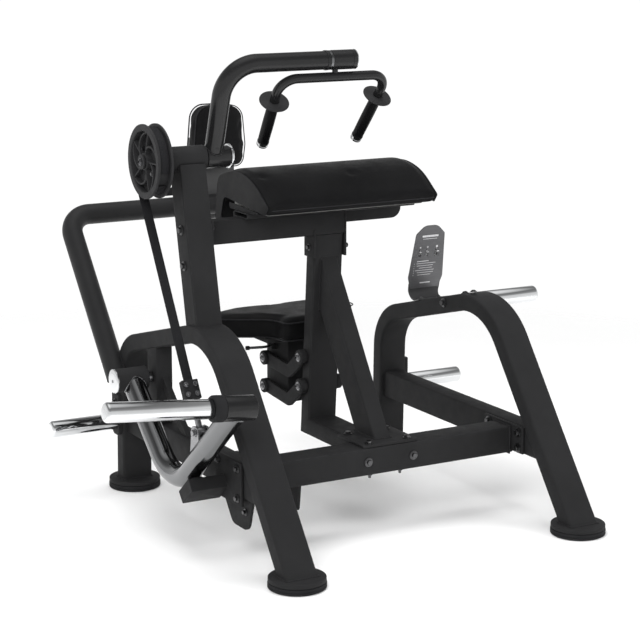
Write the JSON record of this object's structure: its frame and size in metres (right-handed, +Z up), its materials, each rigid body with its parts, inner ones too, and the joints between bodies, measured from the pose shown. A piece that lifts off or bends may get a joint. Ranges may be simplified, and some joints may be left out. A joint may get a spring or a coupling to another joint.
{
  "type": "plate-loaded seated arm extension machine",
  "caption": "Plate-loaded seated arm-extension machine: side arches, sloped arm pad, swivel handle on a swinging arm, belt-driven weight arm, adjustable seat and back pad.",
  "frame": {"origin": "middle of the machine's overall footprint, on the floor", "axes": "+Z up; the user sits facing -Y with the back pad at the +Y end; +X is to the right as seen from the front, so the weight arm is on the -X side"},
  "size_m": [1.5691, 1.4154, 1.2667],
  "materials": {
    "frame_coat": "satin textured powder coat, near black",
    "bare_steel": "ground and lightly oiled",
    "chrome_plate": "bright chrome plate",
    "upholstery": "fine-grained matt black synthetic leather over foam",
    "black_rubber": "matt moulded rubber",
    "moulded_plastic": "fine-textured moulded plastic",
    "belt_fabric": "woven flat belt",
    "pad_board": "grey-faced board",
    "post_grey": "mid grey satin coat",
    "placard_grey": "grey printed aluminium sheet, print left off"
  },
  "bodies": {
    "frame": {"left_arch": "frame_coat", "right_arch": "frame_coat", "left_front_foot": "black_rubber", "left_rear_foot": "black_rubber", "right_front_foot": "black_rubber", "right_rear_foot": "black_rubber", "left_rail": "frame_coat", "right_rail": "frame_coat", "crossbeam": "frame_coat", "centre_column": "frame_coat", "column_strut": "frame_coat", "left_upright": "frame_coat", "bearing_housing": "frame_coat", "outer_bearing": "bare_steel", "inner_bearing": "bare_steel", "top_beam": "frame_coat", "pad_support": "frame_coat", "pad_board": "pad_board", "arm_pad": "upholstery", "backrest_boom": "frame_coat", "back_post": "post_grey", "back_pad": "upholstery", "pivot_post": "frame_coat", "weight_pivot_pin": "bare_steel", "bumper_bracket": "frame_coat", "weight_bumper": "black_rubber", "rear_left_storage_horn": "chrome_plate", "rear_right_storage_horn": "chrome_plate", "top_right_storage_horn": "chrome_plate", "placard": "placard_grey", "belt_run": "belt_fabric"},
    "handle_arm": {"handle_arm": "frame_coat", "arm_end_cap": "chrome_plate", "pivot_shaft": "bare_steel", "pulley": "moulded_plastic", "pulley_retainer": "frame_coat", "belt_wrap": "belt_fabric"},
    "handle": {"handle_sleeve": "frame_coat", "left_grip": "black_rubber", "right_grip": "black_rubber", "left_hand_stop": "moulded_plastic", "right_hand_stop": "moulded_plastic"},
    "weight_arm": {"weight_arm_tube": "chrome_plate", "weight_arm_hub": "frame_coat", "weight_hub_cap": "chrome_plate", "horn_holder": "frame_coat", "horn_collar": "black_rubber", "weight_horn": "chrome_plate"},
    "belt_link": {"belt_clamp": "frame_coat", "clamp_rod": "bare_steel"},
    "lower_link": {"lower_link": "frame_coat"},
    "upper_link": {"upper_link": "frame_coat"},
    "seat": {"seat_carriage": "frame_coat", "seat_cushion": "upholstery"},
    "seat_lever": {"seat_lever": "bare_steel"}
  },
  "joints": [
    {"name": "arm_pivot", "type": "hinge", "parent": "frame", "child": "handle_arm", "pos_m": [-0.24965, -0.03165, 0.992], "axis": [1, 0, 0], "range_deg": [0, 95], "deforming": ["belt_run"]},
    {"name": "handle_swivel", "type": "hinge", "parent": "handle_arm", "child": "handle", "pos_m": [0.10035, -0.1123, 1.24023], "axis": [1, 0, 0], "range_deg": [-5, 60]},
    {"name": "weight_pivot", "type": "hinge", "parent": "frame", "child": "weight_arm", "pos_m": [-0.42965, 0.11835, 0.377], "axis": [1, 0, 0], "range_deg": [-22, 0]},
    {"name": "belt_link_pivot", "type": "hinge", "parent": "weight_arm", "child": "belt_link", "pos_m": [-0.42965, -0.30865, 0.33], "axis": [1, 0, 0], "range_deg": [0, 15]},
    {"name": "lower_link_pivot", "type": "hinge", "parent": "frame", "child": "lower_link", "pos_m": [0.10035, 0.01935, 0.322], "axis": [1, 0, 0], "range_deg": [-6, 34]},
    {"name": "upper_link_pivot", "type": "hinge", "parent": "frame", "child": "upper_link", "pos_m": [0.10035, 0.01935, 0.405], "axis": [1, 0, 0], "range_deg": [-6, 34]},
    {"name": "seat_level", "type": "hinge", "parent": "lower_link", "child": "seat", "pos_m": [0.10035, 0.23435, 0.277], "axis": [1, 0, 0], "range_deg": [-34, 6]},
    {"name": "seat_lever_pivot", "type": "hinge", "parent": "seat", "child": "seat_lever", "pos_m": [0.05205, 0.20835, 0.398], "axis": [0, 1, 0], "range_deg": [0, 12]}
  ],
  "couplings": [
    {"joint": "weight_pivot", "follows": "arm_pivot", "ratio": -0.2272},
    {"joint": "belt_link_pivot", "follows": "arm_pivot", "ratio": 0.153},
    {"joint": "upper_link_pivot", "follows": "lower_link_pivot", "ratio": 1},
    {"joint": "seat_level", "follows": "lower_link_pivot", "ratio": -1}
  ]
}
